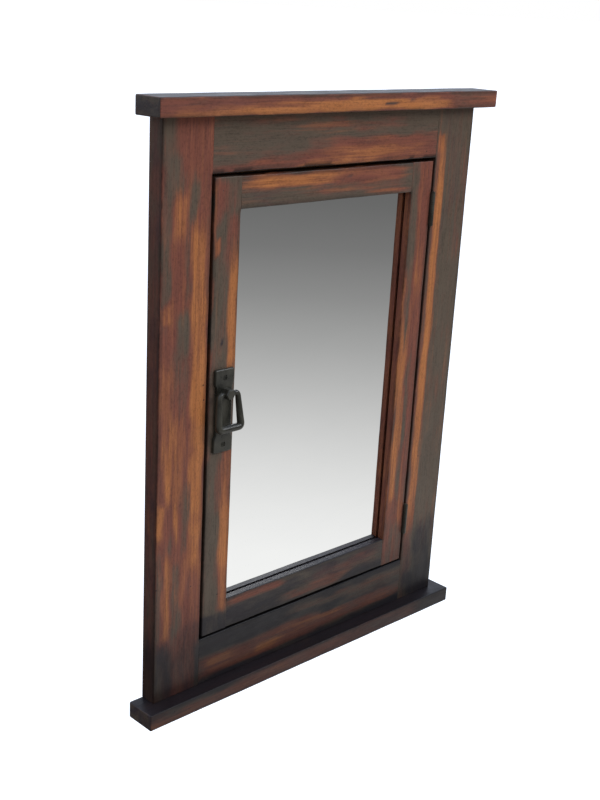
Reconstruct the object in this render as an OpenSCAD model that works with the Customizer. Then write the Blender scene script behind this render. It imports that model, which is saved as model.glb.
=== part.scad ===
// Recessed medicine cabinet with a mirrored door.
// Frame: +X right, +Y into the wall, +Z up. The origin is the centre of the door opening, on the
// wall plane, so the face frame stands in front of y = 0 and the box goes into the wall behind it.

/* [Face frame] */
// Width of the face frame
frame_w = 458; // [440:1:480]
// Height of the face frame, between the ledge and the crown
frame_h = 618.5; // [590:0.5:660]
// Thickness of the face frame boards
frame_t = 20; // [19:0.5:22]
// Width of the two stiles
stile_w = 62.5; // [56:0.5:70]
// Width of the two rails
rail_w = 56.25; // [50:0.25:70]

/* [Crown and ledge] */
// Thickness of the crown and ledge boards
trim_t = 19; // [18:1:25]
// Depth of the crown and ledge boards, from the wall
trim_d = 38; // [32:1:50]
// How far the crown and ledge run past each side of the face frame
trim_over = 17; // [10:1:30]

/* [Door] */
// Thickness of the door boards
door_t = 19; // [18:0.5:19]
// Width of the door stiles
door_stile_w = 35.5; // [34:0.5:45]
// Width of the door's top rail
door_top_w = 33.5; // [33:0.5:45]
// Width of the door's bottom rail
door_bottom_w = 36.5; // [33:0.5:45]
// Gap between the door and the frame on the latch side
gap_latch = 2.8; // [2:0.1:4]
// Gap above the door
gap_top = 3.2; // [2:0.1:4]
// Gap below the door
gap_bottom = 2.4; // [2:0.1:4]
// Depth of the mirror glass behind the front of the door
mirror_set_back = 8.5; // [7:0.5:9]
// Thickness of the mirror glass
mirror_t = 3; // [3:0.5:4]

/* [Box] */
// Depth of the box behind the wall plane
box_d = 66; // [60:1:89]
// Thickness of the box boards
box_t = 18; // [18:1:20]
// How far the box stands inside the door opening, as a stop for the door
stop_lip = 8; // [7:1:9]

/* [Shelves] */
// Thickness of the shelves
shelf_t = 9; // [8:1:12]
// Hole number of the upper shelf, counted from the middle of the box
upper_hole = 2; // [2:1:4]
// Hole number of the lower shelf, counted from the middle of the box
lower_hole = -3; // [-5:1:-3]

/* [Door pull] */
// Height of the pull's middle above the middle of the door opening
pull_z = 9; // [-40:0.5:40]
// Length of the bail from its pivot to the middle of its grip
bail_drop = 37; // [30:1:42]
// Angle between the resting bail and the plate
bail_rest = 6; // [3:1:10]

/* [Hidden] */
$fn = 48;

wood = [0.30, 0.15, 0.09];
pine = [0.72, 0.56, 0.38];
iron = [0.10, 0.10, 0.11];
steel = [0.62, 0.62, 0.62];

eps = 0.01;       // overlap that joins two shapes of one solid
peg_gap = 0.05;   // radial clearance of dowels, screws and nails in their holes

// Door opening
open_x = frame_w / 2 - stile_w;
open_z = frame_h / 2 - rail_w;
frame_y = -frame_t / 2;              // middle of the face frame's thickness

// Hinges: two leaves of equal thickness fill the gap on the hinge side
leaf_t = 1.1;
leaf_clear = 0.2;
gap_hinge = 2 * leaf_t + leaf_clear;
knuckle_r = 2.75;
knuckle_clear = 0.4;                 // space round the knuckles where they turn
hinge_pin_r = 1.25;
pin_fit = 0.02;                      // radial clearance in the frame's knuckles
pin_head_r = 2.25;
pin_head_t = 0.9;
knuckle_end_gap = 0.15;              // between the door's knuckle and the frame's
notch_over = 1;                      // how far a notch runs past each end of its hinge
hinge_h = 38;                        // height of the leaves and knuckles
hinge_z = 195;                       // height of each hinge above or below the middle
hinge_x = open_x - gap_hinge / 2;
hinge_y = -frame_t - 1.7;            // the knuckles stand proud of the face
knuckle_split = 6.5;                 // half height of the middle knuckle
leaf_back_y = -3;                    // rear edge of the leaves
leaf_screw_z = 12;
leaf_screw_y = -11;
leaf_screw_l = 16;
leaf_screw_r = 1.4;
leaf_head_r = 2.4;

// Door
door_x0 = -open_x + gap_latch;
door_x1 = open_x - gap_hinge;
door_z0 = -open_z + gap_bottom;
door_z1 = open_z - gap_top;
door_front = -frame_t;
door_back = door_front + door_t;
glass_x0 = door_x0 + door_stile_w;   // edges of the mirror that show
glass_x1 = door_x1 - door_stile_w;
glass_z0 = door_z0 + door_bottom_w;
glass_z1 = door_z1 - door_top_w;
rebate_w = 9;
rebate_y = door_front + mirror_set_back;
glass_clear = 1;                     // gap round the glass in its rebate
backing_t = 3;
stop_w = 8;
stop_under = 0.1;                    // how far the stops lie below the door's back
stop_end_gap = 0.2;
stop_y = rebate_y + mirror_t + backing_t;
stop_t = door_back - stop_y - stop_under;

// Brads that hold the stops
brad_r = 0.6;
brad_l = 15;
brad_rows = [-170, 0, 170];
brad_cols = [-80, 80];

// Felt bumpers between the door and the box
bumper_r = 1.9;
bumper_gap = 0.2;
bumper_in = 2.1;
bumper_z = 225;

// Box
box_in_x = open_x - stop_lip;
box_in_z = open_z - stop_lip;
box_out_x = box_in_x + box_t;
box_out_z = box_in_z + box_t;
back_t = 4;
back_rebate = 8;
back_y = box_d - back_t;
back_clear = 0.5;                    // gap round the panel in its rebate
nail_r = 0.9;
nail_l = 16;
nail_rows = [-208, -80, 80, 208];
nail_cols = [-100, 0, 100];
wall_hole_r = 2.5;
wall_hole_y = 33;
wall_hole_z = 190;
box_screw_y = [16, 48];
box_screw_l = 40;
box_screw_r = 1.75;
box_head_r = 3.6;

// Shelves stand on pins in rows of holes
hole_pitch = 32;
hole_rows = 5;                       // holes above and below the middle one
pin_rows_y = [14, 50];
pin_r = 2.5;
pin_in = 9.5;
pin_out = 8;
pin_hole_in = 10;                    // depth of the holes
pin_collar_r = 4;
pin_collar_t = 1.2;
shelf_clear = 0.5;                   // between a shelf's end and the collars of its pins
shelf_half_x = box_in_x - pin_collar_t - shelf_clear;
shelf_y0 = 4;
shelf_y1 = back_y - 2;

// Dowels
dowel_r = 4;
dowel_in = 20;                       // depth of a face frame dowel in each board
trim_dowel_in = 12;
door_dowel_r = 3;
door_dowel_in = 18;
door_dowel_y = door_front + 8;
door_dowel_dz = [14.5, 27];          // above or below the mirror's edges
box_dowel_r = 3;
box_dowel_in = 10;
dowel_end = 0.5;                     // space left at each end of a dowel
rail_dowel_z = [-15, 15];            // from the middle of a rail
trim_dowel_x = [-frame_w / 2 + stile_w / 2, -60, 60, frame_w / 2 - stile_w / 2];
box_dowel_x = box_out_x - 5;
box_dowel_z = box_out_z - 5;
box_dowel_rows = [-150, -50, 50, 150];
box_dowel_cols = [-90, 90];

// Magnetic catch on the left side of the box
catch_x = -box_in_x;
catch_w = 14;
catch_h = 28;
catch_ear_t = 3;
catch_ear_h = 46;
catch_y0 = 1;
catch_d = 14;
magnet_w = 8;
magnet_h = 20;
pole_t = 1.2;
pole_y = 0.4;
catch_screw_z = 18.5;
catch_screw_l = 12;
catch_screw_r = 1.5;
catch_head_r = 2.8;
catch_screw_y = catch_y0 + 8;
catch_ear_y0 = catch_y0 + 3;
catch_ear_y1 = catch_y0 + 13;
catch_inner_y1 = catch_y0 + 12;      // inner end of the magnet, its pole plates and their pocket
catch_wall = 1.7;
magnet_x = catch_x + 3;
magnet_side_gap = 1.1;
pole_over = 1;                       // how far the pole plates run past each end of the magnet
strike_t = 1.2;
strike_x = catch_x + 0.5;
strike_half_h = 16;
strike_screw_l = 12;
strike_screw_r = 1.5;
strike_head_r = 2.6;

// Pull
pull_in = 1;                         // the pull sits this far inwards of the stile's middle
pull_x = door_x0 + door_stile_w / 2 + pull_in;
plate_w = 25.5;
plate_h = 91;
plate_t = 3.6;
plate_corner = 1.2;
pad_h = 15.5;
pad_taper = 4;
waist_w = 21;
plate_y = door_front - plate_t;
pull_screw_z = 36.5;
pull_screw_l = 16;
pull_screw_r = 1.6;
pull_head_r = 3;
boss_r = 6;
boss_l = 10.8;
boss_z = pull_z + 20.5;
pivot_y = plate_y - 5.8;
bore_r = 2.05;
bail_end_r = 2;
bail_top_r = 2.9;
bail_grip_r = 4.1;
bail_top_x = 12.5;                   // half width at the pivot
bail_low_x = 15.5;                   // half width at the grip
bail_end_gap = 1;                    // between each end and the middle of the post
bail_boss_gap = 0.5;                 // between the thicker bar and the post's side
bail_corner = 0.2;                   // how much each corner is thicker than its bar

// ---- shapes used by several parts ----

module block(lo, hi) translate(lo) cube(hi - lo);

module rod_x(r, x0, x1, y, z) translate([x0, y, z]) rotate([0, 90, 0]) cylinder(r = r, h = x1 - x0);

module rod_y(r, y0, y1, x, z) translate([x, y0, z]) rotate([-90, 0, 0]) cylinder(r = r, h = y1 - y0);

module rod_z(r, z0, z1, x, y) translate([x, y, z0]) cylinder(r = r, h = z1 - z0);

// Flat head screw with its head at the origin and its tip at -Z
module screw(l, r, head_r) {
    head_h = head_r - r;
    difference() {
        union() {
            translate([0, 0, -l + 2 * r]) cylinder(r = r, h = l - 2 * r - head_h / 2);
            translate([0, 0, -l]) cylinder(r1 = r / 4, r2 = r, h = 2 * r);
            translate([0, 0, -head_h]) cylinder(r1 = r, r2 = head_r, h = head_h);
        }
        for (a = [0, 90]) rotate(a) translate([-head_r * 0.55, -head_r * 0.1, -head_h * 0.6])
            cube([head_r * 1.1, head_r * 0.2, head_h]);
    }
}

// The hole that such a screw fits, open above its head
module screw_hole(l, r, head_r) {
    head_h = head_r - r;
    translate([0, 0, -l - 0.5]) cylinder(r = r + peg_gap, h = l + 0.5);
    translate([0, 0, -head_h]) cylinder(r1 = r + peg_gap, r2 = head_r + peg_gap, h = head_h);
    cylinder(r = head_r + peg_gap, h = 1);
}

// Puts a shape that points down -Z so that it points along -X (side 1) or +X (side -1)
module point_x(side) rotate([0, 90 * side, 0]) children();

// Puts a shape that points down -Z so that it points along +Y, into the wall
module point_y() rotate([90, 0, 0]) children();

// ---- holes shared by the boards and what fills them ----

module frame_dowel_set(r, end) for (side = [-1, 1], up = [-1, 1], dz = rail_dowel_z)
    rod_x(r, side * open_x - dowel_in + end, side * open_x + dowel_in - end,
        frame_y, up * (open_z + rail_w / 2) + dz);

module trim_dowel_set(r, end) for (up = [-1, 1], x = trim_dowel_x)
    rod_z(r, up * frame_h / 2 - trim_dowel_in + end, up * frame_h / 2 + trim_dowel_in - end,
        x, frame_y);

module box_dowel_set(r, end) {
    for (side = [-1, 1], z = box_dowel_rows)
        rod_y(r, -box_dowel_in + end, box_dowel_in - end, side * box_dowel_x, z);
    for (up = [-1, 1], x = box_dowel_cols)
        rod_y(r, -box_dowel_in + end, box_dowel_in - end, x, up * box_dowel_z);
}

module door_dowel_set(r, end) for (x = [glass_x0, glass_x1], dz = door_dowel_dz,
    z = [glass_z0 - dz, glass_z1 + dz])
    rod_x(r, x - door_dowel_in + end, x + door_dowel_in - end, door_dowel_y, z);

module at_box_screws() for (side = [-1, 1], up = [-1, 1], y = box_screw_y)
    translate([side * box_out_x, y, up * (box_in_z + box_t / 2)]) point_x(side) children();

module back_nail_set(r) {
    for (side = [-1, 1], z = nail_rows)
        rod_y(r, box_d - nail_l, box_d, side * (box_in_x + back_rebate / 2), z);
    for (up = [-1, 1], x = nail_cols)
        rod_y(r, box_d - nail_l, box_d, x, up * (box_in_z + back_rebate / 2));
}

// side 1 is the frame's leaf and side -1 the door's
module at_leaf_screws(side) for (up = [-1, 1], dz = [-leaf_screw_z, leaf_screw_z])
    translate([hinge_x + side * leaf_clear / 2, leaf_screw_y, up * hinge_z + dz])
        point_x(-side) children();

module at_catch_screws() for (dz = [-catch_screw_z, catch_screw_z])
    translate([catch_x + catch_ear_t, catch_screw_y, dz]) point_x(1) children();

module at_pull_screws() for (dz = [-pull_screw_z, pull_screw_z])
    translate([pull_x, plate_y, pull_z + dz]) point_y() children();

module at_strike_screw()
    translate([strike_x + catch_w / 2, door_back + strike_t, 0]) rotate([-90, 0, 0]) children();

module brad_set(r) {
    for (z = brad_rows) {
        rod_x(r, glass_x0 - brad_l, glass_x0, stop_y + stop_t / 2, z);
        rod_x(r, glass_x1, glass_x1 + brad_l, stop_y + stop_t / 2, z);
    }
    for (x = brad_cols) {
        rod_z(r, glass_z0 - brad_l, glass_z0, x, stop_y + stop_t / 2);
        rod_z(r, glass_z1, glass_z1 + brad_l, x, stop_y + stop_t / 2);
    }
}

// ---- face frame, crown and ledge ----

module trim_board(up) color(wood) difference() {
    block([-frame_w / 2 - trim_over, -trim_d, up == 1 ? frame_h / 2 : -frame_h / 2 - trim_t],
        [frame_w / 2 + trim_over, 0, up == 1 ? frame_h / 2 + trim_t : -frame_h / 2]);
    trim_dowel_set(dowel_r + peg_gap, 0);
}

module face_stile(side) color(wood) difference() {
    block([side == 1 ? open_x : -frame_w / 2, -frame_t, -frame_h / 2],
        [side == 1 ? frame_w / 2 : -open_x, 0, frame_h / 2]);
    frame_dowel_set(dowel_r + peg_gap, 0);
    trim_dowel_set(dowel_r + peg_gap, 0);
    box_dowel_set(box_dowel_r + peg_gap, 0);
    if (side == 1) {
        at_leaf_screws(1) screw_hole(leaf_screw_l, leaf_screw_r, leaf_head_r);
        hinge_notches();
    }
}

module face_rail(up) color(wood) difference() {
    block([-open_x, -frame_t, up == 1 ? open_z : -frame_h / 2],
        [open_x, 0, up == 1 ? frame_h / 2 : -open_z]);
    frame_dowel_set(dowel_r + peg_gap, 0);
    trim_dowel_set(dowel_r + peg_gap, 0);
    box_dowel_set(box_dowel_r + peg_gap, 0);
}

module frame_dowels() color(pine) frame_dowel_set(dowel_r, dowel_end);

module trim_dowels() color(pine) trim_dowel_set(dowel_r, dowel_end);

// ---- box ----

module back_recess() block([-box_in_x - back_rebate, back_y, -box_in_z - back_rebate],
    [box_in_x + back_rebate, box_d + 1, box_in_z + back_rebate]);

module box_side(side) color(pine) difference() {
    block([side == 1 ? box_in_x : -box_out_x, 0, -box_out_z],
        [side == 1 ? box_out_x : -box_in_x, box_d, box_out_z]);
    back_recess();
    box_dowel_set(box_dowel_r + peg_gap, 0);
    back_nail_set(nail_r + peg_gap);
    at_box_screws() screw_hole(box_screw_l, box_screw_r, box_head_r);
    for (z = [-wall_hole_z, wall_hole_z])
        rod_x(wall_hole_r, side * (box_in_x + box_t / 2) - box_t, side * (box_in_x + box_t / 2) + box_t,
            wall_hole_y, z);
    for (y = pin_rows_y, n = [-hole_rows : hole_rows])
        rod_x(pin_r, side * box_in_x - pin_hole_in, side * box_in_x + pin_hole_in, y, n * hole_pitch);
    if (side == -1) at_catch_screws() screw_hole(catch_screw_l, catch_screw_r, catch_head_r);
}

module box_end(up) color(pine) difference() {
    block([-box_in_x, 0, up == 1 ? box_in_z : -box_out_z],
        [box_in_x, box_d, up == 1 ? box_out_z : -box_in_z]);
    back_recess();
    box_dowel_set(box_dowel_r + peg_gap, 0);
    back_nail_set(nail_r + peg_gap);
    at_box_screws() screw_hole(box_screw_l, box_screw_r, box_head_r);
}

module back_panel() color(pine) difference() {
    block([-box_in_x - back_rebate + back_clear, back_y, -box_in_z - back_rebate + back_clear],
        [box_in_x + back_rebate - back_clear, box_d, box_in_z + back_rebate - back_clear]);
    back_nail_set(nail_r + peg_gap);
}

module box_dowels() color(pine) box_dowel_set(box_dowel_r, dowel_end);

module box_screws() color(steel) at_box_screws() screw(box_screw_l, box_screw_r, box_head_r);

module back_nails() color(steel) back_nail_set(nail_r);

module shelf(hole) color(pine) block(
    [-shelf_half_x, shelf_y0, hole * hole_pitch + pin_r + peg_gap],
    [shelf_half_x, shelf_y1, hole * hole_pitch + pin_r + peg_gap + shelf_t]);

module shelf_pin() {
    cylinder(r = pin_r - peg_gap, h = pin_in + pin_out);
    translate([0, 0, pin_in]) cylinder(r = pin_collar_r, h = pin_collar_t);
}

module shelf_pins() color(steel) for (side = [-1, 1], y = pin_rows_y, n = [lower_hole, upper_hole])
    translate([side * (box_in_x + pin_in), y, n * hole_pitch]) rotate([0, -90 * side, 0]) shelf_pin();

// ---- magnetic catch ----

module catch_housing() color([0.35, 0.22, 0.14]) difference() {
    union() {
        block([catch_x, catch_y0, -catch_h / 2], [catch_x + catch_w, catch_y0 + catch_d, catch_h / 2]);
        block([catch_x, catch_ear_y0, -catch_ear_h / 2],
            [catch_x + catch_ear_t, catch_ear_y1, catch_ear_h / 2]);
    }
    block([catch_x + catch_wall, catch_y0 - 1, -magnet_h / 2 - magnet_side_gap],
        [catch_x + catch_w - catch_wall, catch_inner_y1, magnet_h / 2 + magnet_side_gap]);
    at_catch_screws() screw_hole(catch_screw_l, catch_screw_r, catch_head_r);
}

module catch_magnet() color([0.2, 0.2, 0.22]) block(
    [magnet_x, catch_y0 + 1, -magnet_h / 2], [magnet_x + magnet_w, catch_inner_y1, magnet_h / 2]);

module catch_pole_plates() color(steel) for (x = [magnet_x - pole_t, magnet_x + magnet_w])
    block([x, pole_y, -magnet_h / 2 - pole_over], [x + pole_t, catch_inner_y1, magnet_h / 2 + pole_over]);

module catch_screws() color(steel) at_catch_screws() screw(catch_screw_l, catch_screw_r, catch_head_r);

module strike_plate() color(steel) difference() {
    block([strike_x, door_back, -strike_half_h], [strike_x + catch_w, door_back + strike_t, strike_half_h]);
    at_strike_screw() screw_hole(strike_screw_l, strike_screw_r, strike_head_r);
}

module strike_screw() color(steel) at_strike_screw()
    screw(strike_screw_l, strike_screw_r, strike_head_r);

// ---- hinges ----

module knuckle(z0, z1) rod_z(knuckle_r, z0, z1, hinge_x, hinge_y);

// Clears the turning knuckles between two heights
module knuckle_space(z0, z1) rod_z(knuckle_r + knuckle_clear, z0, z1, hinge_x, hinge_y);

module leaf_plate(side) {
    x0 = side == 1 ? hinge_x + leaf_clear / 2 : hinge_x - leaf_clear / 2 - leaf_t;
    block([x0, hinge_y, -hinge_h / 2], [x0 + leaf_t, leaf_back_y, hinge_h / 2]);
}

module frame_leaf(z) color(iron) difference() {
    translate([0, 0, z]) difference() {
        union() {
            difference() {
                leaf_plate(1);
                knuckle_space(-knuckle_split, knuckle_split);
            }
            knuckle(knuckle_split, hinge_h / 2);
            knuckle(-hinge_h / 2, -knuckle_split);
        }
        rod_z(hinge_pin_r + pin_fit, -hinge_h, hinge_h, hinge_x, hinge_y);
    }
    at_leaf_screws(1) screw_hole(leaf_screw_l, leaf_screw_r, leaf_head_r);
}

module door_leaf(z) color(iron) difference() {
    end = knuckle_split - knuckle_end_gap;
    translate([0, 0, z]) difference() {
        union() {
            difference() {
                leaf_plate(-1);
                knuckle_space(end, hinge_h);
                knuckle_space(-hinge_h, -end);
            }
            knuckle(-end, end);
        }
        rod_z(hinge_pin_r + peg_gap, -hinge_h, hinge_h, hinge_x, hinge_y);
    }
    at_leaf_screws(-1) screw_hole(leaf_screw_l, leaf_screw_r, leaf_head_r);
}

// The small hollow in a board's corner that a hinge's knuckles turn in
module hinge_notches() for (up = [-1, 1])
    translate([0, 0, up * hinge_z]) knuckle_space(-hinge_h / 2 - notch_over, hinge_h / 2 + notch_over);

module hinge_pin(z) color(iron) translate([hinge_x, hinge_y, z]) {
    cylinder(r = hinge_pin_r, h = hinge_h + pin_head_t, center = true);
    for (up = [-1, 1]) translate([0, 0, up * (hinge_h + pin_head_t) / 2])
        cylinder(r = pin_head_r, h = pin_head_t, center = true);
}

module hinge_screws(side) color(iron) at_leaf_screws(side) screw(leaf_screw_l, leaf_screw_r, leaf_head_r);

// ---- door ----

module mirror_rebate() block([glass_x0 - rebate_w, rebate_y, glass_z0 - rebate_w],
    [glass_x1 + rebate_w, door_back + 1, glass_z1 + rebate_w]);

module door_stile(side) color(wood) difference() {
    block([side == 1 ? glass_x1 : door_x0, door_front, door_z0],
        [side == 1 ? door_x1 : glass_x0, door_back, door_z1]);
    mirror_rebate();
    door_dowel_set(door_dowel_r + peg_gap, 0);
    brad_set(brad_r + peg_gap);
    if (side == 1) {
        at_leaf_screws(-1) screw_hole(leaf_screw_l, leaf_screw_r, leaf_head_r);
        hinge_notches();
    } else {
        at_pull_screws() screw_hole(pull_screw_l, pull_screw_r, pull_head_r);
        at_strike_screw() screw_hole(strike_screw_l, strike_screw_r, strike_head_r);
    }
}

module door_rail(up) color(wood) difference() {
    block([glass_x0, door_front, up == 1 ? glass_z1 : door_z0],
        [glass_x1, door_back, up == 1 ? door_z1 : glass_z0]);
    mirror_rebate();
    door_dowel_set(door_dowel_r + peg_gap, 0);
    brad_set(brad_r + peg_gap);
}

module door_dowels() color(pine) door_dowel_set(door_dowel_r, dowel_end);

module in_rebate(inset, y0, y1) block([glass_x0 - rebate_w + inset, y0, glass_z0 - rebate_w + inset],
    [glass_x1 + rebate_w - inset, y1, glass_z1 + rebate_w - inset]);

module mirror_glass() color([0.8, 0.83, 0.85]) in_rebate(glass_clear, rebate_y, rebate_y + mirror_t);

module mirror_backing() color([0.42, 0.28, 0.18]) in_rebate(glass_clear, rebate_y + mirror_t, stop_y);

module mirror_stop_side(side) color(pine) difference() {
    x0 = side == 1 ? glass_x1 + rebate_w - stop_w : glass_x0 - rebate_w;
    block([x0, stop_y, glass_z0 - rebate_w + stop_end_gap],
        [x0 + stop_w, stop_y + stop_t, glass_z1 + rebate_w - stop_end_gap]);
    brad_set(brad_r + peg_gap);
}

module mirror_stop_end(up) color(pine) difference() {
    z0 = up == 1 ? glass_z1 + rebate_w - stop_w : glass_z0 - rebate_w;
    block([glass_x0 - rebate_w + stop_w, stop_y, z0],
        [glass_x1 + rebate_w - stop_w, stop_y + stop_t, z0 + stop_w]);
    brad_set(brad_r + peg_gap);
}

module mirror_stop_brads() color(steel) brad_set(brad_r);

module door_bumpers() color([0.5, 0.45, 0.4]) for (up = [-1, 1])
    rod_y(bumper_r, door_back, -bumper_gap, door_x0 + bumper_in, up * bumper_z);

// ---- pull ----

// Outline of the back plate: a pad at each end of a narrower waist
module plate_outline() {
    w = plate_w / 2;
    n = waist_w / 2;
    h = plate_h / 2;
    p = h - pad_h;
    t = p - pad_taper;
    c = plate_corner;
    polygon([
        [-w + c, -h], [w - c, -h], [w, -h + c], [w, -p], [n, -t], [n, t], [w, p], [w, h - c],
        [w - c, h], [-w + c, h], [-w, h - c], [-w, p], [-n, t], [-n, -t], [-w, -p], [-w, -h + c]
    ]);
}

module pull_backplate() color(iron) difference() {
    union() {
        translate([pull_x, door_front, pull_z]) rotate([90, 0, 0]) linear_extrude(plate_t) plate_outline();
        translate([pull_x, plate_y + eps, boss_z]) rotate([90, 0, 0])
            cylinder(r = boss_r, h = boss_l, $fn = 6);
    }
    rod_x(bore_r, pull_x - 2 * boss_r, pull_x + 2 * boss_r, pivot_y, boss_z);
    at_pull_screws() screw_hole(pull_screw_l, pull_screw_r, pull_head_r);
}

module pull_screws() color(iron) at_pull_screws() screw(pull_screw_l, pull_screw_r, pull_head_r);

// A round bar between two points of the bail's own plane, which hangs from the pivot
module bar(a, b, r1, r2) {
    d = b - a;
    translate([a[0], 0, a[1]]) rotate([0, atan2(d[0], d[1]), 0])
        cylinder(r1 = r1, r2 = r2, h = norm(d));
}

module bail() color(iron) translate([pull_x, pivot_y, boss_z]) rotate([-bail_rest, 0, 0])
    for (side = [-1, 1]) {
        top = [side * bail_top_x, 0];
        low = [side * bail_low_x, -bail_drop];
        bar([side * bail_end_gap, 0], [side * (boss_r + bail_end_gap), 0], bail_end_r, bail_end_r);
        bar([side * (boss_r + bail_boss_gap), 0], top, bail_top_r, bail_top_r);
        translate([top[0], 0, 0]) sphere(r = bail_top_r + bail_corner);
        bar(top, low, bail_top_r, bail_grip_r);
        translate([low[0], 0, low[1]]) sphere(r = bail_grip_r + bail_corner);
        bar(low, [0, -bail_drop], bail_grip_r, bail_grip_r);
    }

trim_board(1);  // crown_board
trim_board(-1);  // ledge_board
face_stile(-1);  // face_stile_left
face_stile(1);  // face_stile_right
face_rail(1);  // face_rail_top
face_rail(-1);  // face_rail_bottom
frame_dowels();
trim_dowels();
box_side(-1);  // box_side_left
box_side(1);  // box_side_right
box_end(1);  // box_top
box_end(-1);  // box_bottom
back_panel();
box_dowels();
box_screws();
back_nails();
shelf(upper_hole);  // shelf_upper
shelf(lower_hole);  // shelf_lower
shelf_pins();
catch_housing();
catch_magnet();
catch_pole_plates();
catch_screws();
frame_leaf(hinge_z);  // hinge_upper_frame_leaf
frame_leaf(-hinge_z);  // hinge_lower_frame_leaf
hinge_pin(hinge_z);  // hinge_upper_pin
hinge_pin(-hinge_z);  // hinge_lower_pin
hinge_screws(1);  // hinge_frame_screws
door_stile(-1);  // door_stile_left
door_stile(1);  // door_stile_right
door_rail(1);  // door_rail_top
door_rail(-1);  // door_rail_bottom
door_dowels();
mirror_glass();
mirror_backing();
mirror_stop_side(-1);  // mirror_stop_left
mirror_stop_side(1);  // mirror_stop_right
mirror_stop_end(1);  // mirror_stop_top
mirror_stop_end(-1);  // mirror_stop_bottom
mirror_stop_brads();
door_leaf(hinge_z);  // hinge_upper_door_leaf
door_leaf(-hinge_z);  // hinge_lower_door_leaf
hinge_screws(-1);  // hinge_door_screws
strike_plate();
strike_screw();
door_bumpers();
pull_backplate();
pull_screws();
bail();
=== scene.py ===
"""Looks of the recessed medicine cabinet.

The hand-worn boards, the mirror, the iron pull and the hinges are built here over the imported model,
and every solid that is kept as it is gets a material. Lengths are in metres; names in _MM are in mm.
"""

import math

import bmesh
import bpy
from mathutils import Matrix, Vector, noise


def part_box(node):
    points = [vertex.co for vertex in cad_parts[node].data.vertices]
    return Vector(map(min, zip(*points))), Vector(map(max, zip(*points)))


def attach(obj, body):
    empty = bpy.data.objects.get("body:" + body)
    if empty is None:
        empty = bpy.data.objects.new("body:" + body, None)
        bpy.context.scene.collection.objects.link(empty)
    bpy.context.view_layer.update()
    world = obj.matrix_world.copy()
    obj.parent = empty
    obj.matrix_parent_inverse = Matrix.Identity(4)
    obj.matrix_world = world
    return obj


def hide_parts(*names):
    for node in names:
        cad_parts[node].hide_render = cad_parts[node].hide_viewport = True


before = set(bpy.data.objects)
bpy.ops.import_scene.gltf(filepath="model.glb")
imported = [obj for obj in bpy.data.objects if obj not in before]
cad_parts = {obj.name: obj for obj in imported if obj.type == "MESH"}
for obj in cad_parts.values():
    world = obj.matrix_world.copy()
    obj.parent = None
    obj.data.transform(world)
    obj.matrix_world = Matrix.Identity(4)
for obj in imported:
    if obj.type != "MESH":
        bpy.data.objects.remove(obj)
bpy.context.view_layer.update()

MM = 0.001
NOISE_SEED = 7                        # the same stroke outlines in each run

noise.seed_set(NOISE_SEED)

# ---- camera ----

CAMERA_PLACE = Vector((-0.9375, -0.9242, 0.4136))
CAMERA_YAW = math.radians(43.91)      # to the right of straight ahead
CAMERA_PITCH = math.radians(-18.76)
CAMERA_ROLL = math.radians(2.82)
CAMERA_LENS = 54.85
CAMERA_SHIFT = (0.0304, 0.0199)

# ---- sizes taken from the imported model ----

OPENING_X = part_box("face_rail_top")[1].x
OPENING_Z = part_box("face_rail_top")[0].z
FRAME_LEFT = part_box("face_stile_left")[0].x
GLASS_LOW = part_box("door_rail_bottom")[1].z
GLASS_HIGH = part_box("door_rail_top")[0].z
GLASS_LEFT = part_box("door_rail_top")[0].x
GLASS_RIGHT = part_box("door_rail_top")[1].x
MIRROR_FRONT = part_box("mirror_glass")[0].y
DOOR_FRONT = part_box("door_stile_left")[0].y
TRIM_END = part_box("crown_board")[1].x
TRIM_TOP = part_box("crown_board")[1].z
LEDGE_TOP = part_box("ledge_board")[1].z
HINGE_PIN_LOW, HINGE_PIN_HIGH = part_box("hinge_upper_pin")
HINGE_CENTRE = (HINGE_PIN_LOW + HINGE_PIN_HIGH) / 2

# ---- how the boards are worked ----

CELL = 4 * MM                         # size of the faces that a board is made of
ARC_STEPS = 4
REBATE = 9 * MM
NOTCH_R = 3.15 * MM                   # round the hinge's knuckle
NOTCH_HALF = 20 * MM
JOINT_R = 0.15 * MM                   # edges that meet another board
WORN_R = 1.5 * MM                     # edges that hands and sandpaper reach
DOOR_RAIL_R = 1.3 * MM
TRIM_R = 1.2 * MM
TIGHT_R = 0.5 * MM                    # where a rail meets the crown or ledge
STILE_BACK_R = 0.6 * MM
RAIL_BACK_R = 0.9 * MM
STILE_END_R = 0.4 * MM
# How far the edges wander inwards, for the four corners of a board's section
STILE_WAVE = [0.35 * MM, 0.35 * MM, 0, 0]
TOP_RAIL_WAVE = [0.9 * MM, 0, 0, 0]
BOTTOM_RAIL_WAVE = [0, 0.5 * MM, 0, 0]
TRIM_WAVE = [0.3 * MM] * 4
DOOR_STILE_WAVE = [0.4 * MM, 0.4 * MM, 0, 0]
DOOR_TOP_WAVE = [0.3 * MM, 0.8 * MM, 0, 0]
DOOR_BOTTOM_WAVE = [0.5 * MM, 0.3 * MM, 0, 0]

# Stain tones, as shares of amber, red and black over the olive-brown ground
OLIVE = (0.0, 0.1, 0.0)
BROWN = (0.12, 0.5, 0.08)
RED = (0.12, 0.95, 0.0)
ORANGE = (0.55, 1.0, 0.0)
AMBER = (0.95, 0.9, 0.0)
BLACK = (0.0, 0.1, 0.9)
OXBLOOD = (0.0, 0.75, 0.5)
DUSK = (0.0, 0.1, 0.22)
GROUND = {
    "face_stile_left": RED,
    "face_stile_right": OLIVE,
    "face_rail_top": OLIVE,
    "face_rail_bottom": BLACK,
    "door_stile_left": OLIVE,
    "door_stile_right": BROWN,
    "door_rail_top": DUSK,
    "door_rail_bottom": DUSK,
    "crown_board": RED,
    "ledge_board": OXBLOOD,
}
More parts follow.
